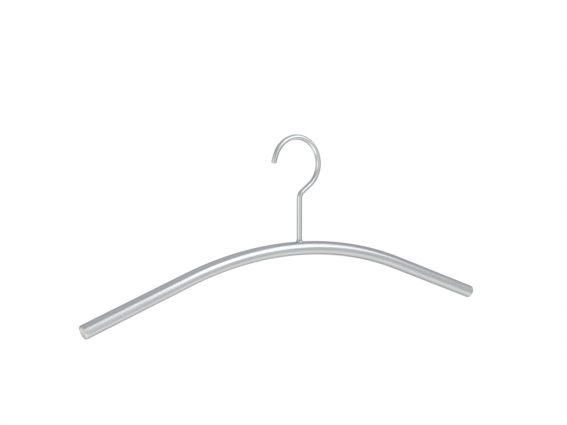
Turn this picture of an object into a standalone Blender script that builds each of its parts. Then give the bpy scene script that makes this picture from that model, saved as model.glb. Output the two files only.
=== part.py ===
"""Metal clothes hanger: an arched tube with a swivelling wire hook and a plastic plug in each end.

Metres, +Z up. The arms run along X and the hook's mouth opens towards -X. The origin is on the hook's swivel
axis, at the point of the loop's inside that bears on the rail.
"""

from math import cos, pi, radians, sin, sqrt, tan

import bmesh
import bpy

# Tube
TUBE_DIAMETER = 0.0130
TUBE_WALL = 0.0012
TUBE_SPAN = 0.4404  # between the centres of the two cut ends
ARCH_RADIUS = 0.345  # of the centreline, over the middle
ARM_SLOPE = radians(20.3)  # of the straight ends below level

# Hook
WIRE_DIAMETER = 0.0050
LOOP_DIAMETER = 0.0450  # inside the loop
LOOP_OFFSET = 0.0032  # from the swivel axis to the loop's centre, towards the mouth
LOOP_HEIGHT = 0.0800  # of the loop's centre over the tube's centreline
NECK_BEND_RADIUS = 0.0084
NECK_LEAN = radians(53.0)  # of the wire between the neck's bend and the loop
LOOP_END_ANGLE = radians(163.0)  # where the loop ends, counted round it from +X
TIP_RUN = 0.0065  # straight wire from the loop's end to the tip's face
TIP_ROUNDING = 0.0006

# Foot of the hook, where it turns in the tube
PIVOT_DIAMETER = 0.0036
PIVOT_HEAD_DIAMETER = 0.0056
PIVOT_HEAD_HEIGHT = 0.0012
PIVOT_FLOOR_GAP = 0.0008  # under the peened head
WASHER_THICKNESS = 0.0008
BUSH_WALL = 0.00105
BUSH_BULGE = 0.0008  # how far the set bulge grips under the tube's wall
BUSH_BULGE_HEIGHT = 0.0006
COLLAR_HEIGHT = 0.0013  # over the tube's crown
COLLAR_LAND = 0.0004  # ring of the collar's top that shows round the wire
COLLAR_FLARE = 0.0007  # overhang of the collar's base over the hole

# End plugs
PLUG_RECESS = 0.0002  # from the tube's cut end in to the plug's face
PLUG_EDGE_ROUNDING = 0.0004
PLUG_DISH_DIAMETER = 0.0078  # shallow dish in the face
PLUG_DISH_DEPTH = 0.0005
PLUG_DISH_SLOPE = 0.0004  # width of the dish's sloping side
PLUG_LAND = 0.0020  # full width behind the face
PLUG_LENGTH = 0.0140
PLUG_WALL = 0.0013
PLUG_FLOOR = 0.0012  # behind the dish
PLUG_RIB_COUNT = 4
PLUG_RIB_HEIGHT = 0.0004
PLUG_LEAD_IN = 0.0008

# Clearances
SEAT_GAP = 0.0002  # between pieces that are fixed to each other
RUNNING_GAP = 0.00015  # between the hook's foot and what it turns in

# Fineness
TUBE_SIDES = 32
ARCH_STEPS = 32
WIRE_SIDES = 18
NECK_STEPS = 8
LOOP_STEPS = 40
ROUNDING_STEPS = 3
FLARE_STEPS = 6
TURNED_SIDES = 28
CUT_MARGIN = 0.004  # how far a cutter runs past what it cuts
WELD_DISTANCE = 1e-6

tube_radius = TUBE_DIAMETER / 2
bore_radius = tube_radius - TUBE_WALL
wire_radius = WIRE_DIAMETER / 2
loop_radius = LOOP_DIAMETER / 2 + wire_radius
pivot_radius = PIVOT_DIAMETER / 2
bush_bore_radius = pivot_radius + RUNNING_GAP
sleeve_radius = bush_bore_radius + BUSH_WALL
collar_top_radius = wire_radius + COLLAR_LAND
collar_base_radius = sleeve_radius + COLLAR_FLARE

# Heights on the swivel axis, from the rail down
loop_z = -sqrt((LOOP_DIAMETER / 2) ** 2 - LOOP_OFFSET**2)
tube_z = loop_z - LOOP_HEIGHT
collar_top_z = tube_z + tube_radius + COLLAR_HEIGHT
shoulder_z = collar_top_z + RUNNING_GAP
pivot_end_z = tube_z - bore_radius + PIVOT_FLOOR_GAP
washer_bottom_z = pivot_end_z + PIVOT_HEAD_HEIGHT + RUNNING_GAP
sleeve_foot_z = washer_bottom_z + WASHER_THICKNESS + RUNNING_GAP


def clear_scene():
    for obj in list(bpy.data.objects):
        bpy.data.objects.remove(obj, do_unlink=True)


def new_collection(name, rendered=True):
    collection = bpy.data.collections.new(name)
    collection.hide_render = not rendered
    bpy.context.scene.collection.children.link(collection)
    return collection


def material(name, colour, roughness, metallic):
    made = bpy.data.materials.new(name)
    made.use_nodes = True
    shader = made.node_tree.nodes["Principled BSDF"]
    shader.inputs["Base Color"].default_value = (*colour, 1.0)
    shader.inputs["Roughness"].default_value = roughness
    shader.inputs["Metallic"].default_value = metallic
    return made


def arc(centre, radius, start, end, steps):
    """Points in a plane, from the start angle to the end angle, both ends included."""
    angles = [start + (end - start) * i / steps for i in range(steps + 1)]
    return [(centre[0] + radius * cos(a), centre[1] + radius * sin(a)) for a in angles]


def swept_tube(name, points, radius, sides, caps, radii=None):
    """A mesh tube along (x, z) points, each with its own share of the radius where radii is given."""
    curve = bpy.data.curves.new(name, "CURVE")
    curve.dimensions = "3D"
    curve.bevel_depth = radius
    curve.bevel_resolution = sides // 2 - 2
    curve.use_fill_caps = caps
    spline = curve.splines.new("POLY")
    spline.points.add(len(points) - 1)
    for i, (x, z) in enumerate(points):
        spline.points[i].co = (x, 0.0, z, 1.0)
        spline.points[i].radius = radii[i] if radii else 1.0
    path = bpy.data.objects.new(name + "_path", curve)
    bpy.context.scene.collection.objects.link(path)
    bpy.context.view_layer.update()
    evaluated = path.evaluated_get(bpy.context.evaluated_depsgraph_get())
    mesh = bpy.data.meshes.new_from_object(evaluated)
    mesh.name = name
    weld(mesh)
    tube = bpy.data.objects.new(name, mesh)
    tube.matrix_world = path.matrix_world
    bpy.data.objects.remove(path, do_unlink=True)
    return tube


def weld(mesh):
    """Joins the caps' loose corners to the sides and turns all faces outwards."""
    shape = bmesh.new()
    shape.from_mesh(mesh)
    bmesh.ops.remove_doubles(shape, verts=shape.verts, dist=WELD_DISTANCE)
    bmesh.ops.recalc_face_normals(shape, faces=shape.faces)
    shape.to_mesh(mesh)
    shape.free()


def turned(name, profile):
    """A solid of revolution about local Z from (radius, height) points, axis to axis, down the outer side."""
    mesh = bpy.data.meshes.new(name)
    edges = [(i, i + 1) for i in range(len(profile) - 1)]
    mesh.from_pydata([(radius, 0.0, height) for radius, height in profile], edges, [])
    solid = bpy.data.objects.new(name, mesh)
    screw = solid.modifiers.new("turn", "SCREW")
    screw.steps = TURNED_SIDES
    screw.render_steps = TURNED_SIDES
    screw.use_merge_vertices = True
    screw.merge_threshold = WELD_DISTANCE
    screw.use_smooth_shade = True
    return solid


def rod(name, radius, bottom, top):
    """A plain turned cylinder between two heights."""
    return turned(name, [(0.0, top), (radius, top), (radius, bottom), (0.0, bottom)])


def combine(solid, tool, operation, cutters):
    """Joins the tool to the solid or cuts it away, and puts the tool with the other cutters."""
    step = solid.modifiers.new(tool.name, "BOOLEAN")
    step.operation = operation
    step.object = tool
    tool.hide_render = True
    tool.display_type = "WIRE"
    cutters.objects.link(tool)


def finish(solid, parts, look):
    solid.data.materials.append(look)
    parts.objects.link(solid)


def arm_centreline():
    """(x, z) points of the tube's middle, from the left end to the right one."""
    arch = arc((0.0, tube_z - ARCH_RADIUS), ARCH_RADIUS, pi / 2 + ARM_SLOPE, pi / 2 - ARM_SLOPE, ARCH_STEPS)
    tangent_x, tangent_z = arch[-1]
    end_x = TUBE_SPAN / 2
    end_z = tangent_z - (end_x - tangent_x) * tan(ARM_SLOPE)
    return [(-end_x, end_z), *arch, (end_x, end_z)]


def make_arm_tube(parts, cutters, look):
    tube = swept_tube("arm_tube", arm_centreline(), tube_radius, TUBE_SIDES, caps=False)
    tube.data.shade_smooth()
    wall = tube.modifiers.new("wall", "SOLIDIFY")
    wall.thickness = TUBE_WALL
    wall.offset = -1.0
    wall.use_even_offset = True
    hole = rod("hook_hole", sleeve_radius + SEAT_GAP, tube_z, tube_z + tube_radius + CUT_MARGIN)
    combine(tube, hole, "DIFFERENCE", cutters)
    finish(tube, parts, look)


def hook_route():
    """(x, z) points and radius shares of the wire, from its shoulder up the shank and round to its tip."""
    loop_x = -LOOP_OFFSET
    join_x = loop_x + loop_radius * cos(NECK_LEAN)
    join_z = loop_z - loop_radius * sin(NECK_LEAN)
    neck_run = (join_x - NECK_BEND_RADIUS * (1 - cos(NECK_LEAN))) / sin(NECK_LEAN)
    bend_z = join_z - neck_run * cos(NECK_LEAN) - NECK_BEND_RADIUS * sin(NECK_LEAN)
    shank = [(0.0, shoulder_z)]
    bend = arc((NECK_BEND_RADIUS, bend_z), NECK_BEND_RADIUS, pi, pi - NECK_LEAN, NECK_STEPS)
    loop = arc((loop_x, loop_z), loop_radius, -NECK_LEAN, LOOP_END_ANGLE, LOOP_STEPS)
    loop_end_x, loop_end_z = loop[-1]
    points = shank + bend + loop
    radii = [1.0] * len(points)
    for i in range(ROUNDING_STEPS + 1):
        turn = pi / 2 * i / ROUNDING_STEPS
        run = TIP_RUN - TIP_ROUNDING * (1 - sin(turn))
        points.append((loop_end_x - run * sin(LOOP_END_ANGLE), loop_end_z + run * cos(LOOP_END_ANGLE)))
        radii.append(1 - TIP_ROUNDING / wire_radius * (1 - cos(turn)))
    return points, radii


def pivot_profile():
    """(radius, height) points of the pivot, from inside the wire down to its peened and domed head."""
    root_z = shoulder_z + WIRE_DIAMETER
    head_radius = PIVOT_HEAD_DIAMETER / 2
    head_top_z = pivot_end_z + PIVOT_HEAD_HEIGHT
    dome_height = PIVOT_HEAD_HEIGHT / 2
    points = [(0.0, root_z), (pivot_radius, root_z), (pivot_radius, head_top_z), (head_radius, head_top_z)]
    for i in range(ROUNDING_STEPS + 1):
        turn = pi / 2 * i / ROUNDING_STEPS
        points.append((head_radius * cos(turn), pivot_end_z + dome_height * (1 - sin(turn))))
    return points


def make_hook(parts, cutters, look):
    points, radii = hook_route()
    hook = swept_tube("hook", points, wire_radius, WIRE_SIDES, caps=True, radii=radii)
    hook.data.shade_smooth()
    combine(hook, turned("hook_pivot", pivot_profile()), "UNION", cutters)
    finish(hook, parts, look)


def collar_profile():
    """(radius, height) points of the collar: it flares like a fillet to where it meets the tube's side."""
    base_z = tube_z + sqrt(tube_radius**2 - collar_base_radius**2)
    points = [(0.0, collar_top_z)]
    for i in range(FLARE_STEPS + 1):
        share = i / FLARE_STEPS
        radius = collar_top_radius + (collar_base_radius - collar_top_radius) * share**2
        points.append((radius, collar_top_z + (base_z - collar_top_z) * share))
    return points + [(collar_base_radius, tube_z), (0.0, tube_z)]


def sleeve_profile():
    """(radius, height) points of the sleeve through the wall, with the bulge set under the wall."""
    room = bore_radius - SEAT_GAP
    bulge_radius = sleeve_radius + BUSH_BULGE
    grip_z = tube_z + sqrt(room**2 - sleeve_radius**2)
    bulge_top_z = tube_z + sqrt(room**2 - bulge_radius**2)
    bulge_bottom_z = bulge_top_z - BUSH_BULGE_HEIGHT
    points = [(0.0, tube_z + tube_radius), (sleeve_radius, tube_z + tube_radius), (sleeve_radius, grip_z)]
    points += [(bulge_radius, bulge_top_z), (bulge_radius, bulge_bottom_z)]
    points += [(sleeve_radius, bulge_bottom_z - BUSH_BULGE), (sleeve_radius, sleeve_foot_z)]
    return points + [(0.0, sleeve_foot_z)]


def make_hook_bush(parts, cutters, look):
    """A set bush: a flared collar saddled on the tube, a sleeve through the wall and a bulge under the wall."""
    bush = turned("hook_bush", collar_profile())
    saddle = swept_tube("saddle", arm_centreline(), tube_radius + SEAT_GAP, TUBE_SIDES, caps=True)
    combine(bush, saddle, "DIFFERENCE", cutters)
    combine(bush, turned("bush_sleeve", sleeve_profile()), "UNION", cutters)
    bore = rod("bush_bore", bush_bore_radius, sleeve_foot_z - CUT_MARGIN, collar_top_z + CUT_MARGIN)
    combine(bush, bore, "DIFFERENCE", cutters)
    finish(bush, parts, look)


def make_hook_washer(parts, cutters, look):
    top_z = washer_bottom_z + WASHER_THICKNESS
    washer = rod("hook_washer", sleeve_radius, washer_bottom_z, top_z)
    bore = rod("washer_bore", bush_bore_radius, washer_bottom_z - CUT_MARGIN, top_z + CUT_MARGIN)
    combine(washer, bore, "DIFFERENCE", cutters)
    finish(washer, parts, look)


def plug_profile():
    """(radius, height) points of the plug, height 0 at the tube's cut end and up towards the outside."""
    face = -PLUG_RECESS
    dish_radius = PLUG_DISH_DIAMETER / 2
    dish_z = face - PLUG_DISH_DEPTH
    plug_radius = bore_radius - SEAT_GAP
    core_radius = plug_radius - PLUG_RIB_HEIGHT
    hollow_radius = core_radius - PLUG_WALL
    hollow_top_z = dish_z - PLUG_FLOOR
    edge = (plug_radius - PLUG_EDGE_ROUNDING, face - PLUG_EDGE_ROUNDING)
    points = [(0.0, dish_z), (dish_radius - PLUG_DISH_SLOPE, dish_z), (dish_radius, face)]
    points += arc(edge, PLUG_EDGE_ROUNDING, pi / 2, 0.0, ROUNDING_STEPS)
    points += [(plug_radius, face - PLUG_LAND), (core_radius, face - PLUG_LAND)]
    pitch = (PLUG_LENGTH - PLUG_LAND - PLUG_LEAD_IN) / PLUG_RIB_COUNT
    for i in range(PLUG_RIB_COUNT):
        rib_top = face - PLUG_LAND - pitch * (i + 1 / 2)
        points += [(core_radius, rib_top), (plug_radius, rib_top), (core_radius, rib_top - pitch / 2)]
    inner_end = face - PLUG_LENGTH
    points += [(core_radius - PLUG_LEAD_IN / 2, inner_end), (hollow_radius, inner_end)]
    return points + [(hollow_radius, hollow_top_z), (0.0, hollow_top_z)]


def make_end_plug(name, side, parts, look):
    plug = turned(name, plug_profile())
    end_x, end_z = arm_centreline()[-1]
    plug.location = (side * end_x, 0.0, end_z)
    plug.rotation_euler = (0.0, side * (pi / 2 + ARM_SLOPE), 0.0)
    finish(plug, parts, look)


def main():
    clear_scene()
    parts = new_collection("metal_hanger")
    cutters = new_collection("cutters", rendered=False)
    satin_tube = material("satin_aluminium", (0.72, 0.74, 0.76), 0.32, 1.0)
    satin_wire = material("satin_steel", (0.70, 0.71, 0.71), 0.28, 1.0)
    bush_steel = material("bush_steel", (0.62, 0.63, 0.64), 0.30, 1.0)
    plug_plastic = material("natural_plastic", (0.78, 0.78, 0.70), 0.45, 0.0)
    make_arm_tube(parts, cutters, satin_tube)
    make_hook(parts, cutters, satin_wire)
    make_hook_bush(parts, cutters, bush_steel)
    make_hook_washer(parts, cutters, bush_steel)
    make_end_plug("end_plug_left", -1, parts, plug_plastic)
    make_end_plug("end_plug_right", 1, parts, plug_plastic)


main()
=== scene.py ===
"""Looks of the metal clothes hanger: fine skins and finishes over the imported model, soft light and a camera.

Metres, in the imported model's frame: +Z up, the arms along X, the origin where the loop bears on its rail.
"""

from math import asin, cos, pi, radians, sin, sqrt, tan

import bmesh
import bpy
from mathutils import Matrix, Vector


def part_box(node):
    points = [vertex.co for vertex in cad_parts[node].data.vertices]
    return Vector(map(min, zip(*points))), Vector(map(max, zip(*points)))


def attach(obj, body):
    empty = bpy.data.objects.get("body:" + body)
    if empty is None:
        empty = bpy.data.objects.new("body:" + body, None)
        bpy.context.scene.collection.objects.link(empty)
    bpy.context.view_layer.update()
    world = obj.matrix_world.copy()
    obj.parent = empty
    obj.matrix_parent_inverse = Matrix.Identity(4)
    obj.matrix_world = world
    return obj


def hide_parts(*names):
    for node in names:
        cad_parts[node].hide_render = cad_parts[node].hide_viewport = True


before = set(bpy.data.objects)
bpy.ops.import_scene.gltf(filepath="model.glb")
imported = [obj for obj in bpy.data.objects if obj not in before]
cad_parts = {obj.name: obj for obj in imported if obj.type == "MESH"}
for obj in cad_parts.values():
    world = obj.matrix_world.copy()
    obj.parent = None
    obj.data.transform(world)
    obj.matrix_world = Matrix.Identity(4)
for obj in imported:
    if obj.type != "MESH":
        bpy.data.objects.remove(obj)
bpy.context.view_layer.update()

# Shape of the tube
TUBE_WALL = 0.0012
TUBE_SPAN = 0.4404  # between the centres of the two cut ends
ARCH_RADIUS = 0.345  # of the centreline, over the middle
ARM_SLOPE = radians(20.3)  # of the straight ends below level
TUBE_EDGE = 0.0008  # rounding of the cut ends, outside
TUBE_INNER_EDGE = 0.0002
HOLE_STRETCH = 0.012  # length over the hook's hole with finer rings

# Shape of the hook
WIRE_DIAMETER = 0.0050
LOOP_DIAMETER = 0.0450  # inside
LOOP_OFFSET = 0.0032  # of the loop's middle from the swivel axis, towards the mouth
NECK_BEND_RADIUS = 0.0084
NECK_LEAN = radians(53.0)  # from upright
LOOP_END_ANGLE = radians(163.0)  # from +X, where the loop runs into its straight tip
TIP_RUN = 0.0065
TIP_ROUNDING = 0.0006
SHOULDER_ROUNDING = 0.0003

# Foot of the hook
PIVOT_DIAMETER = 0.0036
PIVOT_HEAD_HEIGHT = 0.0012
COLLAR_LAND = 0.0004  # of the collar's top, past the wire
COLLAR_FLARE = 0.0007  # of the collar's foot, past the sleeve
COLLAR_EDGE = 0.00012  # rounding of the collar's top
COLLAR_EDGE_START = 15.0  # degrees, where the flare runs into that rounding
BUSH_BULGE = 0.0008  # of the bush under the tube's wall, past the sleeve
BUSH_BULGE_HEIGHT = 0.0006
WASHER_EDGE = 0.0001
RUNNING_GAP = 0.00015  # between pieces that turn on each other
SEAT_GAP = 0.0002  # between pieces that are set or pressed together

# End plugs
PLUG_RECESS = 0.0002  # from the tube's cut end in to the plug's face
PLUG_EDGE_ROUNDING = 0.0004
PLUG_DISH_DIAMETER = 0.0078
PLUG_DISH_DEPTH = 0.0005
PLUG_DISH_SIDE = 0.0008  # width of the dish's sloping side
PLUG_LAND = 0.0020  # smooth length behind the face
PLUG_LENGTH = 0.0140
PLUG_WALL = 0.0013
PLUG_FLOOR = 0.0012
PLUG_RIB_COUNT = 4
PLUG_RIB_HEIGHT = 0.0004
PLUG_LEAD_IN = 0.0008  # length of the sloping start at the inner end

# Fineness of the skins
TUBE_SIDES = 108
WIRE_SIDES = 56
TURNED_SIDES = 96
ARM_STEPS = 24
ARCH_STEPS = 60
HOLE_STEPS = 30
SHANK_STEPS = 24
BEND_STEPS = 24
NECK_STEPS = 6
LOOP_STEPS = 160
ROUNDING_STEPS = 6
FLARE_STEPS = 14
DISH_STEPS = 14
FLARE_HALVINGS = 24  # in the search for the place where the flare meets the tube
SHARP_ANGLE = radians(38.0)

# Grain, frost and marks of the finishes: how wide their blotches are
FINE_GRAIN = 0.00025
WIRE_GRAIN = 0.00018
LATHE_RINGS = 0.003
TUBE_FROST = 0.00012
STEEL_FROST = 0.0001
TUBE_MARKS = 0.011
WIRE_MARKS = 0.006
TUBE_WAVES = 0.022
PLASTIC_CLOUDS = 0.004
PLASTIC_TEXTURE = 0.0004
NOISE_LOW = 0.3  # noise mostly runs between these
NOISE_HIGH = 0.7

# Camera, on the photograph's line of sight
CAMERA_AZIMUTH = radians(-33.994)
CAMERA_ELEVATION = radians(3.822)
CAMERA_DISTANCE = 1.0043
CAMERA_RIGHT = -0.0150
CAMERA_UP = 0.0339
FOCAL_LENGTH_MM = 67.36
SENSOR_WIDTH_MM = 36.0

# The room, as the metal reflects it
WHITE = (1.0, 1.0, 1.0)
ROOM_LIT_FROM = radians(-46.0)  # azimuth of the brighter side
ROOM_SIDE_BLEND = 0.6  # how far from the middle the two sides blend, of 1
LIT_SIDE_LEVELS = [  # brightness by elevation in degrees
    (-40, 0.62),
    (-25, 0.84),
    (-10, 0.91),
    (5, 0.97),
    (20, 0.84),
    (38, 0.57),
    (55, 0.49),
    (90, 0.55),
]
FAR_SIDE_LEVELS = [  # brightness by elevation in degrees
    (-40, 0.46),
    (-24, 0.50),
    (-10, 0.42),
    (5, 0.48),
    (25, 0.49),
    (40, 0.50),
    (58, 0.62),
    (75, 0.70),
    (90, 0.62),
]
FAR_SIDE_TINT = (0.97, 0.99, 1.05)
CAMERA_SHADE_AZIMUTH = radians(-26.0)  # of a darker patch on the camera's side
CAMERA_SHADE_ELEVATION = radians(14.0)
CAMERA_SHADE_LEVEL = 0.70
CAMERA_SHADE_CORE = radians(9.0)  # the shade is even out to here
CAMERA_SHADE_REACH = radians(27.0)  # and has ended here

# Floor
FLOOR_DROP = 0.60  # below the arms' ends
FLOOR_SIZE = 2.6
FLOOR_COLOUR = (0.91, 0.91, 0.92)
FLOOR_SHADE_SIDE = radians(150.0)
FLOOR_SHADE_OFFSET = 0.62
FLOOR_LEVELS = [  # brightness by metres from the middle of the shade
    (0.0, 0.30),
    (0.35, 0.58),
    (0.6, 0.92),
    (0.85, 1.06),
    (1.2, 0.96),
    (1.7, 0.70),
]
FLOOR_POOL_SIDE = radians(-42.0)
FLOOR_POOL_OFFSET = 0.82
FLOOR_POOL_LEVELS = [  # brightness by metres from the middle of the pool of light
    (0.0, 1.30),
    (0.30, 0.85),
    (0.70, 0.0),
]

# Lights
LIGHT_DISTANCE = 1.6
KEY_LIGHT_COLOUR = (0.97, 0.99, 1.04)

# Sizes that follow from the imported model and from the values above
tube_low, tube_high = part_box("arm_tube")
hook_low, hook_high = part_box("hook")
bush_low, bush_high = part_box("hook_bush")
washer_low, washer_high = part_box("hook_washer")

tube_radius = (tube_high.y - tube_low.y) / 2
bore_radius = tube_radius - TUBE_WALL
tube_z = tube_high.z - tube_radius
wire_radius = WIRE_DIAMETER / 2
loop_radius = LOOP_DIAMETER / 2 + wire_radius
loop_z = -sqrt((LOOP_DIAMETER / 2) ** 2 - LOOP_OFFSET**2)
pivot_radius = PIVOT_DIAMETER / 2
pivot_head_radius = hook_high.y  # the head is the hook's widest part across
bush_bore_radius = pivot_radius + RUNNING_GAP
sleeve_radius = washer_high.x
collar_top_z = bush_high.z
collar_top_radius = wire_radius + COLLAR_LAND
collar_base_radius = sleeve_radius + COLLAR_FLARE
shoulder_z = collar_top_z + RUNNING_GAP
hole_radius = sleeve_radius + SEAT_GAP


def walk(x, z, heading, legs):
    """Stations (x, z, heading, distance) along straight and curved legs, each (length, turn, steps)."""
    distance = 0.0
    stations = [(x, z, heading, distance)]
    for length, turn, steps in legs:
        part = length / steps
        bend = turn / steps
        chord = part * (sin(bend / 2) / (bend / 2) if bend else 1.0)
        for _ in range(steps):
            x += chord * cos(heading + bend / 2)
            z += chord * sin(heading + bend / 2)
            heading += bend
            distance += part
            stations.append((x, z, heading, distance))
    return stations


def skin(name, rings, sides, closed=False):
    """A mesh over circles (x, z, heading, distance, radius); one of no radius is a pole.

    The attribute unbent holds each point's place on the same piece drawn out straight, for the grain.
    """
    shape = bmesh.new()
    unbent = shape.verts.layers.float_vector.new("unbent")
    circles = []
    for x, z, heading, distance, radius in rings:
        circle = []
        for k in range(sides if radius else 1):
            turn = 2 * pi * k / sides
            across = radius * cos(turn)
            aside = radius * sin(turn)
            vert = shape.verts.new((x - across * sin(heading), aside, z + across * cos(heading)))
            vert[unbent] = Vector((distance, aside, across))
            circle.append(vert)
        circles.append(circle)
    following = circles[1:] + circles[:1] if closed else circles[1:]
    for first, second in zip(circles, following):
        for k in range(sides):
            corners = [first[k % len(first)], second[k % len(second)]]
            corners += [second[(k + 1) % len(second)], first[(k + 1) % len(first)]]
            # two corners at a pole are one
            shape.faces.new(dict.fromkeys(corners))
    mesh = bpy.data.meshes.new(name)
    shape.to_mesh(mesh)
    shape.free()
    mesh.shade_smooth()
    mesh.set_sharp_from_angle(angle=SHARP_ANGLE)
    piece = bpy.data.objects.new(name, mesh)
    bpy.context.scene.collection.objects.link(piece)
    return piece


def turned_rings(profile, x=0.0, z=0.0, heading=pi / 2):
    """Rings of a turned piece from (radius, height) points, heights counted from (x, z) along the heading."""
    return [(x + h * cos(heading), z + h * sin(heading), heading, h, r) for r, h in profile]


def rounded(centre, radius, start, end):
    """(radius, height) points round an edge, between two angles in degrees."""
    turns = [radians(start + (end - start) * i / ROUNDING_STEPS) for i in range(ROUNDING_STEPS + 1)]
    return [(centre[0] + radius * cos(t), centre[1] + radius * sin(t)) for t in turns]


def dress(piece, body, node, look):
    """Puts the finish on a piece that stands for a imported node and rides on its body."""
    piece.data.materials.append(look)
    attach(piece, body)
    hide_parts(node)


def arm_stations():
    """Stations along the tube's middle, from the left cut end to the right one."""
    arch_half_width = ARCH_RADIUS * sin(ARM_SLOPE)
    arch_drop = ARCH_RADIUS * (1 - cos(ARM_SLOPE))
    run = TUBE_SPAN / 2 - arch_half_width
    arm_length = run / cos(ARM_SLOPE)
    end_z = tube_z - arch_drop - run * tan(ARM_SLOPE)
    hole_turn = HOLE_STRETCH / ARCH_RADIUS
    side_turn = ARM_SLOPE - hole_turn / 2
    arm = (arm_length, 0.0, ARM_STEPS)
    side = (side_turn * ARCH_RADIUS, -side_turn, ARCH_STEPS)
    over_hole = (HOLE_STRETCH, -hole_turn, HOLE_STEPS)
    return walk(-TUBE_SPAN / 2, end_z, ARM_SLOPE, [arm, side, over_hole, side, arm])


def arm_end(side):
    """The middle of a cut end and the heading out of it; side is -1 for the left and 1 for the right."""
    x, z, heading, _ = arm_stations()[0 if side < 0 else -1]
    return x, z, heading + pi if side < 0 else heading


def edge_ring(station, inset, radius):
    """A ring moved along its heading by an inset."""
    x, z, heading, distance = station
    return (x + inset * cos(heading), z + inset * sin(heading), heading, distance + inset, radius)


def cut_hook_hole(tube):
    """Cuts the hook's hole through the tube's top wall."""
    top = tube_radius + bore_radius
    profile = [(0.0, 0.0), (hole_radius, 0.0), (hole_radius, top), (0.0, top)]
    hole = skin("hook_hole", turned_rings(profile, z=tube_z), TURNED_SIDES)
    hole.data.shade_flat()  # so that the hole's edge stays sharp
    hole.hide_render = True
    hole.hide_viewport = True
    cut = tube.modifiers.new("hook_hole", "BOOLEAN")
    cut.operation = "DIFFERENCE"
    cut.object = hole


def make_tube(look):
    """The bent tube with its bore, rounded cut ends and the hook's hole."""
    stations = arm_stations()
    outer_edge = rounded((tube_radius - TUBE_EDGE, TUBE_EDGE), TUBE_EDGE, -90.0, 0.0)
    inner_edge = rounded((bore_radius + TUBE_INNER_EDGE, TUBE_INNER_EDGE), TUBE_INNER_EDGE, -180.0, -90.0)
    wall_end = inner_edge + outer_edge
    rings = [edge_ring(stations[0], inset, radius) for radius, inset in wall_end]
    rings += [(*station, tube_radius) for station in stations[1:-1]]
    rings += [edge_ring(stations[-1], -inset, radius) for radius, inset in reversed(wall_end)]
    rings += [(*station, bore_radius) for station in reversed(stations[1:-1])]
    tube = skin("tube", rings, TUBE_SIDES, closed=True)
    cut_hook_hole(tube)
    dress(tube, "arm", "arm_tube", look)


def hook_stations():
    """Stations along the wire, from its shoulder up the shank, round the neck and the loop to its tip."""
    join_x = loop_radius * cos(NECK_LEAN) - LOOP_OFFSET
    join_z = loop_z - loop_radius * sin(NECK_LEAN)
    neck_run = (join_x - NECK_BEND_RADIUS * (1 - cos(NECK_LEAN))) / sin(NECK_LEAN)
    bend_z = join_z - neck_run * cos(NECK_LEAN) - NECK_BEND_RADIUS * sin(NECK_LEAN)
    loop_turn = LOOP_END_ANGLE + NECK_LEAN
    shank = (bend_z - shoulder_z, 0.0, SHANK_STEPS)
    bend = (NECK_BEND_RADIUS * NECK_LEAN, -NECK_LEAN, BEND_STEPS)
    neck = (neck_run, 0.0, NECK_STEPS)
    loop = (loop_radius * loop_turn, loop_turn, LOOP_STEPS)
    tip = (TIP_RUN, 0.0, 1)
    return walk(0.0, shoulder_z, pi / 2, [shank, bend, neck, loop, tip])


def pivot_profile():
    """(radius, height) points of the pivot, from the middle of its domed head up to the wire's shoulder."""
    head_top = hook_low.z + PIVOT_HEAD_HEIGHT
    dome = PIVOT_HEAD_HEIGHT / 2
    points = [(0.0, hook_low.z)]
    for i in range(1, ROUNDING_STEPS + 1):
        turn = pi / 2 * i / ROUNDING_STEPS
        points.append((pivot_head_radius * sin(turn), hook_low.z + dome * (1 - cos(turn))))
    points += [(pivot_head_radius, head_top), (pivot_radius, head_top), (pivot_radius, shoulder_z)]
    edge = (wire_radius - SHOULDER_ROUNDING, shoulder_z + SHOULDER_ROUNDING)
    return points + rounded(edge, SHOULDER_ROUNDING, -90.0, 0.0)


def make_hook(look):
    """The wire hook on its pivot, with a rounded tip."""
    stations = hook_stations()
    tip = stations[-1]
    rings = turned_rings(pivot_profile())
    rings += [(*station, wire_radius) for station in stations[:-1] if station[3] > SHOULDER_ROUNDING]
    edge = rounded((wire_radius - TIP_ROUNDING, -TIP_ROUNDING), TIP_ROUNDING, 0.0, 90.0)
    rings += [edge_ring(tip, depth, radius) for radius, depth in edge]
    rings.append((*tip, 0.0))
    hook = skin("hook_wire", rings, WIRE_SIDES)
    dress(hook, "hook", "hook", look)


def saddle_height(x, y):
    """Height of the underside of the collar, which follows the arched tube with a gap."""
    crown = sqrt((tube_radius + SEAT_GAP) ** 2 - y**2)
    return tube_z + crown - ARCH_RADIUS * (1 - cos(asin(x / ARCH_RADIUS)))


def flare_point(share):
    """(radius, height) on the collar's side, which flares like a fillet towards the tube."""
    base_z = tube_z + sqrt(tube_radius**2 - collar_base_radius**2)
    radius = collar_top_radius + (collar_base_radius - collar_top_radius) * share**2
    return radius, collar_top_z + (base_z - collar_top_z) * share


def flare_end(turn):
    """Share of the flare at which the collar's side meets its saddle, found by halving."""
    low, high = 0.0, 1.0
    for _ in range(FLARE_HALVINGS):
        share = (low + high) / 2
        radius, height = flare_point(share)
        if height > saddle_height(radius * cos(turn), radius * sin(turn)):
            low = share
        else:
            high = share
    return low


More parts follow.
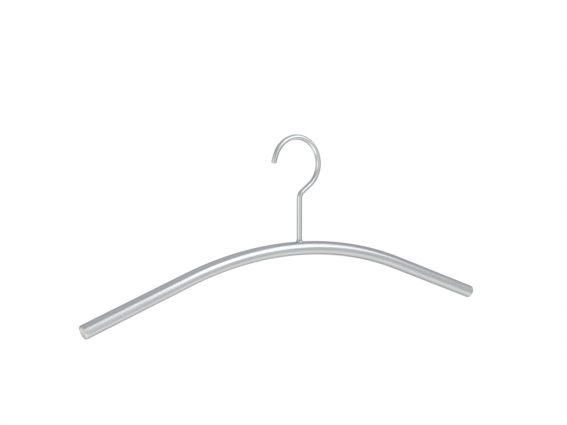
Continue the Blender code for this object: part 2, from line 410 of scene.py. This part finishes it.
def bush_profile(turn):
    """(radius, height) points of the bush at one angle round it, up the outside and down the bore."""
    end = flare_end(turn)
    room = bore_radius - SEAT_GAP
    bulge_radius = sleeve_radius + BUSH_BULGE
    grip_z = tube_z + sqrt(room**2 - sleeve_radius**2)
    bulge_top_z = tube_z + sqrt(room**2 - bulge_radius**2)
    bulge_low_z = bulge_top_z - BUSH_BULGE_HEIGHT
    points = [(bush_bore_radius, bush_low.z), (sleeve_radius, bush_low.z)]
    points += [(sleeve_radius, bulge_low_z - BUSH_BULGE), (bulge_radius, bulge_low_z)]
    points += [(bulge_radius, bulge_top_z), (sleeve_radius, grip_z)]
    points.append((sleeve_radius, saddle_height(sleeve_radius * cos(turn), sleeve_radius * sin(turn))))
    top_share = COLLAR_EDGE / (collar_top_z - flare_point(1.0)[1])
    for i in range(FLARE_STEPS + 1):
        share = end + (top_share - end) * i / FLARE_STEPS
        points.append(flare_point(share))
    edge = (collar_top_radius - COLLAR_EDGE, collar_top_z - COLLAR_EDGE)
    points += rounded(edge, COLLAR_EDGE, COLLAR_EDGE_START, 90.0)
    return points + [(bush_bore_radius, collar_top_z)]


def make_bush(look):
    """The set bush: the collar's saddle meets the tube all the way round."""
    bush = skin("foot_bush", turned_rings(bush_profile(0.0)), TURNED_SIDES, closed=True)
    for k in range(TURNED_SIDES):
        # a skin's rings start at the side facing -X and turn towards +Y
        turn = pi - 2 * pi * k / TURNED_SIDES
        for i, (radius, height) in enumerate(bush_profile(turn)):
            bush.data.vertices[i * TURNED_SIDES + k].co = (radius * cos(turn), radius * sin(turn), height)
    bush.data.set_sharp_from_angle(angle=SHARP_ANGLE)
    dress(bush, "arm", "hook_bush", look)


def make_washer(look):
    """The washer between the bush and the pivot's head, with rounded edges."""
    outer = sleeve_radius - WASHER_EDGE
    profile = [(bush_bore_radius, washer_low.z)]
    profile += rounded((outer, washer_low.z + WASHER_EDGE), WASHER_EDGE, -90.0, 0.0)
    profile += rounded((outer, washer_high.z - WASHER_EDGE), WASHER_EDGE, 0.0, 90.0)
    profile.append((bush_bore_radius, washer_high.z))
    washer = skin("foot_washer", turned_rings(profile), TURNED_SIDES, closed=True)
    dress(washer, "arm", "hook_washer", look)


def plug_profile():
    """(radius, height) points of the plug from inside its hollow end out over the ribs to the dished face."""
    face = -PLUG_RECESS
    dish_radius = PLUG_DISH_DIAMETER / 2
    dish_z = face - PLUG_DISH_DEPTH
    plug_radius = bore_radius - SEAT_GAP
    core_radius = plug_radius - PLUG_RIB_HEIGHT
    hollow_radius = core_radius - PLUG_WALL
    hollow_top_z = dish_z - PLUG_FLOOR
    inner_end = face - PLUG_LENGTH
    pitch = (PLUG_LENGTH - PLUG_LAND - PLUG_LEAD_IN) / PLUG_RIB_COUNT
    points = [(0.0, hollow_top_z), (hollow_radius, hollow_top_z), (hollow_radius, inner_end)]
    points.append((core_radius - PLUG_LEAD_IN / 2, inner_end))
    for i in reversed(range(PLUG_RIB_COUNT)):
        rib_top = face - PLUG_LAND - pitch * (i + 1 / 2)
        points += [(core_radius, rib_top - pitch / 2), (plug_radius, rib_top), (core_radius, rib_top)]
    points += [(core_radius, face - PLUG_LAND), (plug_radius, face - PLUG_LAND)]
    edge = (plug_radius - PLUG_EDGE_ROUNDING, face - PLUG_EDGE_ROUNDING)
    points += rounded(edge, PLUG_EDGE_ROUNDING, 0.0, 90.0)
    for i in range(DISH_STEPS + 1):
        share = i / DISH_STEPS
        sunk = PLUG_DISH_DEPTH * (1 - cos(pi * share)) / 2
        points.append((dish_radius - PLUG_DISH_SIDE * share, face - sunk))
    return points + [(0.0, dish_z)]


def make_plug(name, node, side, look):
    """A moulded plug in one end of the tube."""
    x, z, heading = arm_end(side)
    plug = skin(name, turned_rings(plug_profile(), x, z, heading), TURNED_SIDES)
    dress(plug, "arm", node, look)


def add(tree, kind, **values):
    """A new node, with its inputs set or linked by name (spaces as underscores)."""
    node = tree.nodes.new(kind)
    for key, value in values.items():
        socket = node.inputs[key.replace("_", " ")]
        if isinstance(value, bpy.types.NodeSocket):
            tree.links.new(value, socket)
        else:
            socket.default_value = value
    return node


def new_material(name):
    """A new material with its nodes and its main shader."""
    made = bpy.data.materials.new(name)
    made.use_nodes = True
    return made, made.node_tree, made.node_tree.nodes["Principled BSDF"]


def unbent_place(tree, stretch=1.0):
    """Coordinates on the piece drawn out straight, shrunk along it so that a pattern on them is stretched."""
    place = tree.nodes.new("ShaderNodeAttribute")
    place.attribute_name = "unbent"
    mapping = tree.nodes.new("ShaderNodeMapping")
    mapping.inputs["Scale"].default_value = (1 / stretch, 1.0, 1.0)
    tree.links.new(place.outputs["Vector"], mapping.inputs["Vector"])
    return mapping.outputs["Vector"]


def noise(tree, place, size, detail=3.0, roughness=0.5):
    """Noise whose blotches are about the given size across, in metres."""
    node = add(tree, "ShaderNodeTexNoise", Vector=place, Scale=1 / size, Detail=detail, Roughness=roughness)
    return node.outputs["Fac"]


def spread(tree, value, low, high, from_low=NOISE_LOW, from_high=NOISE_HIGH):
    """The value moved so that what ran between the from limits runs from low to high."""
    node = add(tree, "ShaderNodeMapRange", Value=value)
    for key, number in zip(("From Min", "From Max", "To Min", "To Max"), (from_low, from_high, low, high)):
        node.inputs[key].default_value = number
    return node.outputs["Result"]


def total(tree, first, second):
    """The sum of two values."""
    node = tree.nodes.new("ShaderNodeMath")
    tree.links.new(first, node.inputs[0])
    tree.links.new(second, node.inputs[1])
    return node.outputs[0]


def blend(tree, pattern, dark, light):
    """A colour that varies between two as the noise of a pattern does."""
    node = tree.nodes.new("ShaderNodeMix")
    node.data_type = "RGBA"
    tree.links.new(spread(tree, pattern, low=0.0, high=1.0), node.inputs["Factor"])
    node.inputs["A"].default_value = (*dark, 1.0)
    node.inputs["B"].default_value = (*light, 1.0)
    return node.outputs["Result"]


def bump(tree, height, depth, under=None):
    """A normal from a height between 0 and 1 that stands for a depth in metres."""
    node = add(tree, "ShaderNodeBump", Height=height, Distance=depth)
    if under:
        tree.links.new(under, node.inputs["Normal"])
    return node.outputs["Normal"]


def finish_metal(tree, shader, colour, rough, normal):
    """Joins a metal's colour, roughness and normal to its shader."""
    tree.links.new(colour, shader.inputs["Base Color"])
    tree.links.new(rough, shader.inputs["Roughness"])
    tree.links.new(normal, shader.inputs["Normal"])
    shader.inputs["Metallic"].default_value = 1.0


def satin_aluminium():
    """Drawn tube: fine long grain, a frosted surface, faint handling marks and waves."""
    made, tree, shader = new_material("satin_aluminium")
    grain = noise(tree, unbent_place(tree, stretch=40.0), FINE_GRAIN)
    frost = noise(tree, unbent_place(tree), TUBE_FROST, detail=1.0)
    marks = noise(tree, unbent_place(tree, stretch=3.0), TUBE_MARKS, detail=5.0, roughness=0.6)
    waves = noise(tree, unbent_place(tree, stretch=2.0), TUBE_WAVES, detail=1.0)
    colour = blend(tree, marks, dark=(0.592, 0.611, 0.613), light=(0.622, 0.640, 0.642))
    rough = total(tree, spread(tree, marks, low=0.22, high=0.26), spread(tree, grain, low=-0.02, high=0.02))
    normal = bump(tree, waves, depth=0.000012)
    normal = bump(tree, grain, depth=0.0000006, under=normal)
    normal = bump(tree, frost, depth=0.00000025, under=normal)
    finish_metal(tree, shader, colour, rough, normal)
    return made


def satin_steel():
    """Plated wire: drawing lines along it, slight variation in the plating."""
    made, tree, shader = new_material("satin_steel")
    grain = noise(tree, unbent_place(tree, stretch=60.0), WIRE_GRAIN)
    frost = noise(tree, unbent_place(tree), STEEL_FROST, detail=1.0)
    marks = noise(tree, unbent_place(tree, stretch=4.0), WIRE_MARKS, detail=5.0, roughness=0.6)
    colour = blend(tree, marks, dark=(0.603, 0.620, 0.618), light=(0.637, 0.654, 0.649))
    rough = total(tree, spread(tree, marks, low=0.16, high=0.20), spread(tree, grain, low=-0.02, high=0.02))
    normal = bump(tree, grain, depth=0.0000006)
    normal = bump(tree, frost, depth=0.00000025, under=normal)
    finish_metal(tree, shader, colour, rough, normal)
    return made


def bush_steel():
    """Turned steel: lathe rings round the axis."""
    made, tree, shader = new_material("bush_steel")
    rings = noise(tree, unbent_place(tree, stretch=0.02), LATHE_RINGS, detail=2.0)
    frost = noise(tree, unbent_place(tree), STEEL_FROST, detail=1.0)
    colour = blend(tree, frost, dark=(0.50, 0.51, 0.51), light=(0.54, 0.55, 0.55))
    rough = spread(tree, rings, low=0.24, high=0.32)
    normal = bump(tree, rings, depth=0.000002)
    normal = bump(tree, frost, depth=0.0000006, under=normal)
    finish_metal(tree, shader, colour, rough, normal)
    return made


def natural_plastic():
    """Uncoloured moulded plastic: milky, a little yellow, with a fine moulded texture."""
    made, tree, shader = new_material("natural_plastic")
    cloud = noise(tree, unbent_place(tree), PLASTIC_CLOUDS, detail=4.0)
    fine = noise(tree, unbent_place(tree), PLASTIC_TEXTURE, detail=2.0)
    colour = blend(tree, cloud, dark=(0.60, 0.605, 0.545), light=(0.64, 0.645, 0.585))
    tree.links.new(colour, shader.inputs["Base Color"])
    tree.links.new(spread(tree, fine, low=0.34, high=0.46), shader.inputs["Roughness"])
    tree.links.new(bump(tree, fine, depth=0.0000015), shader.inputs["Normal"])
    shader.inputs["Subsurface Weight"].default_value = 0.35
    shader.inputs["Subsurface Radius"].default_value = (1.0, 0.95, 0.7)
    shader.inputs["Subsurface Scale"].default_value = 0.002
    shader.inputs["IOR"].default_value = 1.5
    return made


def direction(azimuth, elevation):
    """The unit vector towards a place, azimuth 0 being in front (-Y) and 90 to the right (+X)."""
    return Vector((sin(azimuth) * cos(elevation), -cos(azimuth) * cos(elevation), sin(elevation)))


def make_camera():
    """The camera, turned to the tube's middle and then moved sideways and up in its own picture."""
    back = direction(CAMERA_AZIMUTH, CAMERA_ELEVATION)
    right = Vector((cos(CAMERA_AZIMUTH), sin(CAMERA_AZIMUTH), 0.0))
    up = back.cross(right)
    camera = bpy.data.objects.new("camera", bpy.data.cameras.new("camera"))
    camera.data.lens = FOCAL_LENGTH_MM
    camera.data.sensor_width = SENSOR_WIDTH_MM
    place = Vector((0.0, 0.0, tube_z)) + back * CAMERA_DISTANCE + right * CAMERA_RIGHT + up * CAMERA_UP
    camera.matrix_world = Matrix.Translation(place) @ Matrix((right, up, back)).transposed().to_4x4()
    bpy.context.scene.collection.objects.link(camera)
    bpy.context.scene.camera = camera


def levels(tree, value, stops, tint=WHITE):
    """A smooth colour along a value, from (value, brightness) stops in rising order."""
    low, high = stops[0][0], stops[-1][0]
    place = spread(tree, value, low=0.0, high=1.0, from_low=low, from_high=high)
    ramp = add(tree, "ShaderNodeValToRGB", Fac=place)
    ramp.color_ramp.interpolation = "EASE"
    while len(ramp.color_ramp.elements) < len(stops):
        ramp.color_ramp.elements.new(0.5)  # moved to its own place below
    for element, (at, brightness) in zip(ramp.color_ramp.elements, stops):
        element.position = (at - low) / (high - low)
        element.color = (*[brightness * part for part in tint], 1.0)
    return ramp.outputs["Color"]


def height_levels(tree, height, stops, tint=WHITE):
    """The room's colour by height, from (elevation in degrees, brightness) stops."""
    return levels(tree, height, [(sin(radians(angle)), level) for angle, level in stops], tint)


def towards(tree, place, azimuth, elevation=0.0):
    """How far a place or direction lies towards an azimuth and elevation."""
    node = tree.nodes.new("ShaderNodeVectorMath")
    node.operation = "DOT_PRODUCT"
    tree.links.new(place, node.inputs[0])
    node.inputs[1].default_value = direction(azimuth, elevation)
    return node.outputs["Value"]


def plain_to_camera(tree, plain, lit):
    """One shader where the camera looks straight at a thing, and another where it lights or is reflected."""
    path = tree.nodes.new("ShaderNodeLightPath")
    mix = tree.nodes.new("ShaderNodeMixShader")
    tree.links.new(path.outputs["Is Camera Ray"], mix.inputs[0])
    tree.links.new(lit.outputs[0], mix.inputs[1])
    tree.links.new(plain.outputs[0], mix.inputs[2])
    return mix.outputs[0]


def room_colour(tree, place, height):
    """The room's colour: two sides with their own levels by height, blended across the middle."""
    across = towards(tree, place, ROOM_LIT_FROM)
    lit_share = spread(tree, across, low=0.0, high=1.0, from_low=-ROOM_SIDE_BLEND, from_high=ROOM_SIDE_BLEND)
    side = tree.nodes.new("ShaderNodeMix")
    side.data_type = "RGBA"
    tree.links.new(lit_share, side.inputs["Factor"])
    tree.links.new(height_levels(tree, height, FAR_SIDE_LEVELS, FAR_SIDE_TINT), side.inputs["A"])
    tree.links.new(height_levels(tree, height, LIT_SIDE_LEVELS), side.inputs["B"])
    return side.outputs["Result"]


def make_world():
    """A bright room: white to the camera, and in reflections lit from one side and shaded by height."""
    world = bpy.data.worlds.new("studio")
    world.use_nodes = True
    bpy.context.scene.world = world
    tree = world.node_tree
    tree.nodes.clear()
    place = tree.nodes.new("ShaderNodeTexCoord").outputs["Generated"]
    height = add(tree, "ShaderNodeSeparateXYZ", Vector=place).outputs["Z"]
    near_camera = towards(tree, place, CAMERA_SHADE_AZIMUTH, CAMERA_SHADE_ELEVATION)
    rim = cos(CAMERA_SHADE_REACH)
    core = cos(CAMERA_SHADE_CORE)
    strength = spread(tree, near_camera, low=1.0, high=CAMERA_SHADE_LEVEL, from_low=rim, from_high=core)
    room = add(tree, "ShaderNodeBackground", Color=room_colour(tree, place, height), Strength=strength)
    white = add(tree, "ShaderNodeBackground", Color=(*WHITE, 1.0))
    output = tree.nodes.new("ShaderNodeOutputWorld")
    tree.links.new(plain_to_camera(tree, white, room), output.inputs["Surface"])


def glow(tree, place, side, offset, stops):
    """Light from a surface, by the distance from a point of it that lies to one side of its middle."""
    away = tree.nodes.new("ShaderNodeVectorMath")
    away.operation = "DISTANCE"
    tree.links.new(place, away.inputs[0])
    away.inputs[1].default_value = direction(side, 0.0) * offset
    return add(tree, "ShaderNodeEmission", Color=levels(tree, away.outputs["Value"], stops))


def pale_floor():
    """A floor that is plain and pale to the camera and glows softly like a light table.

    Its glow has a shade on the far side and a pool of light in front.
    """
    made = bpy.data.materials.new("pale_floor")
    made.use_nodes = True
    tree = made.node_tree
    tree.nodes.clear()
    place = tree.nodes.new("ShaderNodeTexCoord").outputs["Object"]
    whole = glow(tree, place, FLOOR_SHADE_SIDE, FLOOR_SHADE_OFFSET, FLOOR_LEVELS)
    pool = glow(tree, place, FLOOR_POOL_SIDE, FLOOR_POOL_OFFSET, FLOOR_POOL_LEVELS)
    both = tree.nodes.new("ShaderNodeAddShader")
    tree.links.new(whole.outputs[0], both.inputs[0])
    tree.links.new(pool.outputs[0], both.inputs[1])
    pale = add(tree, "ShaderNodeEmission", Color=(*FLOOR_COLOUR, 1.0))
    output = tree.nodes.new("ShaderNodeOutputMaterial")
    tree.links.new(plain_to_camera(tree, pale, both), output.inputs["Surface"])
    return made


def make_floor():
    """A plain pale floor, well below the hanging hanger."""
    mesh = bpy.data.meshes.new("floor")
    half = FLOOR_SIZE / 2
    corners = [(-half, -half, 0.0), (half, -half, 0.0), (half, half, 0.0), (-half, half, 0.0)]
    mesh.from_pydata(corners, [], [(0, 1, 2, 3)])
    mesh.materials.append(pale_floor())
    floor = bpy.data.objects.new("floor", mesh)
    floor.location = (0.0, 0.0, tube_low.z - FLOOR_DROP)
    bpy.context.scene.collection.objects.link(floor)


def make_soft_box(name, azimuth, elevation, width, height, radiance, colour=WHITE):
    """A soft area light that faces the hanger, with its angles in degrees and its radiance seen square on."""
    light = bpy.data.lights.new(name, "AREA")
    light.shape = "RECTANGLE"
    light.size = width
    light.size_y = height
    light.energy = radiance * pi * width * height
    light.color = colour
    lamp = bpy.data.objects.new(name, light)
    outward = direction(radians(azimuth), radians(elevation))
    lamp.location = Vector((0.0, 0.0, tube_z)) + outward * LIGHT_DISTANCE
    lamp.rotation_euler = outward.to_track_quat("Z", "Y").to_euler()
    lamp.visible_camera = False
    bpy.context.scene.collection.objects.link(lamp)


def make_lights():
    """A broad key light on the right, a weaker one in front, and three small ones for the edges."""
    make_soft_box(
        "key_light",
        azimuth=37.5,
        elevation=35.0,
        width=1.27,
        height=1.3,
        radiance=1.08,
        colour=KEY_LIGHT_COLOUR,
    )
    make_soft_box("fill_light", azimuth=-4.0, elevation=42.0, width=1.1, height=0.9, radiance=0.57)
    make_soft_box("side_light", azimuth=-67.0, elevation=8.0, width=0.6, height=0.8, radiance=0.8)
    make_soft_box("far_light", azimuth=81.0, elevation=15.0, width=0.8, height=0.6, radiance=0.15)
    make_soft_box("low_light", azimuth=84.0, elevation=-28.0, width=0.9, height=0.5, radiance=0.42)


def make_hanger():
    """All pieces of the hanger, each in its finish."""
    turned_steel = bush_steel()
    plastic = natural_plastic()
    make_tube(satin_aluminium())
    make_hook(satin_steel())
    make_bush(turned_steel)
    make_washer(turned_steel)
    make_plug("plug_left", "end_plug_left", -1, plastic)
    make_plug("plug_right", "end_plug_right", 1, plastic)


def write_sizes():
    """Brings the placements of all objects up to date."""
    bpy.context.view_layer.update()


make_camera()
make_world()
make_floor()
make_lights()
make_hanger()
bpy.context.scene.view_settings.view_transform = "Standard"
write_sizes()
